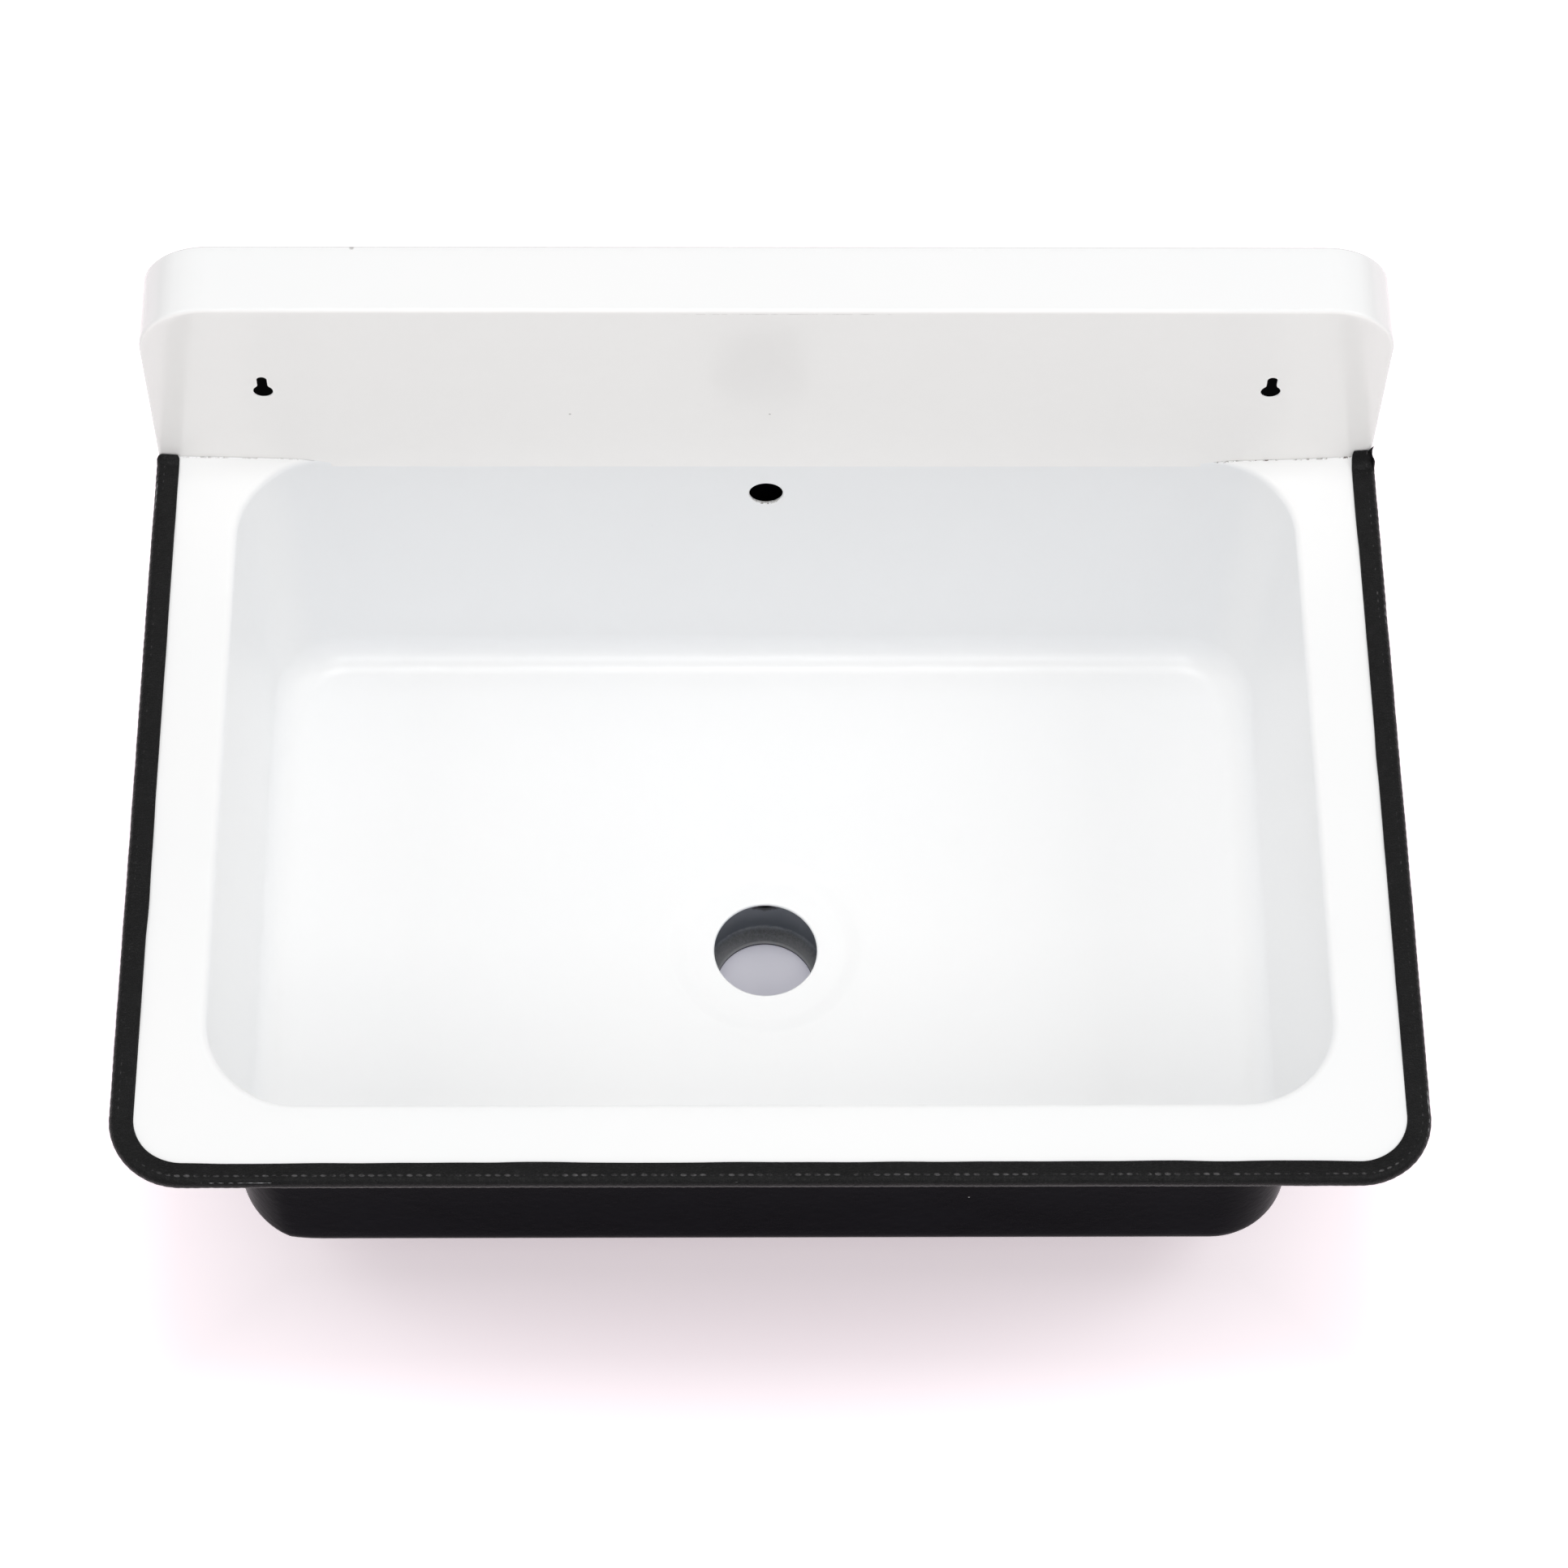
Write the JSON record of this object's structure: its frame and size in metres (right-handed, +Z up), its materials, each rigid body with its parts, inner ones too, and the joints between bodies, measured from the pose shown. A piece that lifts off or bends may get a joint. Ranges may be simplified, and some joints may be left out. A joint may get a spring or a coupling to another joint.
{
  "type": "wall-mounted bucket sink",
  "caption": "Wall-hung bucket sink in enamelled steel: deep bowl, turned-back splashback with keyholes, overflow hole and duct, open drain, push-on rim trim.",
  "frame": {"origin": "midway between the two keyholes, on the front face of the splashback", "axes": "+X along the wall to the right, +Y back to the wall, +Z up"},
  "size_m": [0.52, 0.375, 0.293],
  "materials": {
    "white_enamel": "glossy white vitreous enamel on steel; the hidden outside and underside are dark",
    "dark_enamel": "glossy blue-black ground enamel on steel",
    "trim_vinyl": "black vinyl with a leather-like grain",
    "clip_steel": "bright spring steel"
  },
  "bodies": {
    "root": {"basin": "white_enamel", "splashback": "white_enamel", "overflow_duct": "dark_enamel", "drain_chamber": "dark_enamel", "edge_trim": "trim_vinyl", "trim_core": "clip_steel"}
  },
  "joints": []
}
